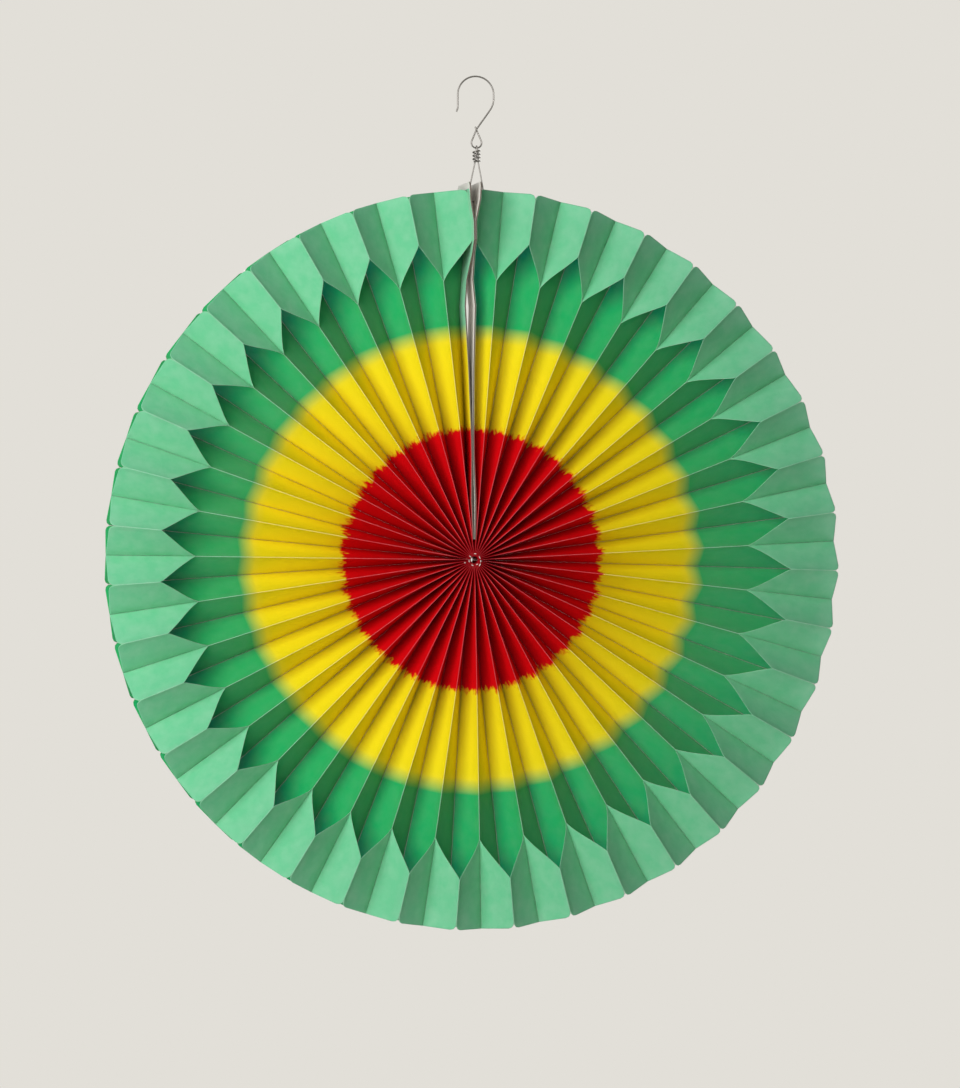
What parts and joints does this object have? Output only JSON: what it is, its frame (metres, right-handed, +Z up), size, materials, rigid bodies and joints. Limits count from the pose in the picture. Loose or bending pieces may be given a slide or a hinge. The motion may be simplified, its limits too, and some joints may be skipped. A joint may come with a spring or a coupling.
{
  "type": "paper fan rosette",
  "caption": "Round hanging rosette of glued tissue leaves in red, yellow and green, with end cards and a wire hanger.",
  "frame": {"origin": "underside of the hook's crown, where the rosette hangs on its rail or nail", "axes": "+Z up, the disc stands in the XZ plane and its front faces -Y"},
  "size_m": [0.4999, 0.052, 0.5778],
  "materials": {
    "tissue": "matte",
    "card": "matte",
    "adhesive": "matte",
    "thread": "matte",
    "steel_wire": "satin"
  },
  "bodies": {
    "hook": {"wire_hook": "steel_wire"},
    "hanger": {"hanger_wire": "steel_wire"},
    "rosette": {"paper_rosette": "tissue", "end_card_left": "card", "end_card_right": "card", "card_pad_lower": "adhesive", "card_pad_upper": "adhesive", "binding_thread": "thread"}
  },
  "joints": [
    {"name": "hanger_swing", "type": "hinge", "parent": "hook", "child": "hanger", "pos_m": [0.00055, 0, -0.04435], "axis": [0, 1, 0], "range_deg": [-40, 40]},
    {"name": "rosette_tilt", "type": "hinge", "parent": "hanger", "child": "rosette", "pos_m": [-0.00108, 0, -0.08422], "axis": [1, 0, 0], "range_deg": [-25, 25]}
  ]
}
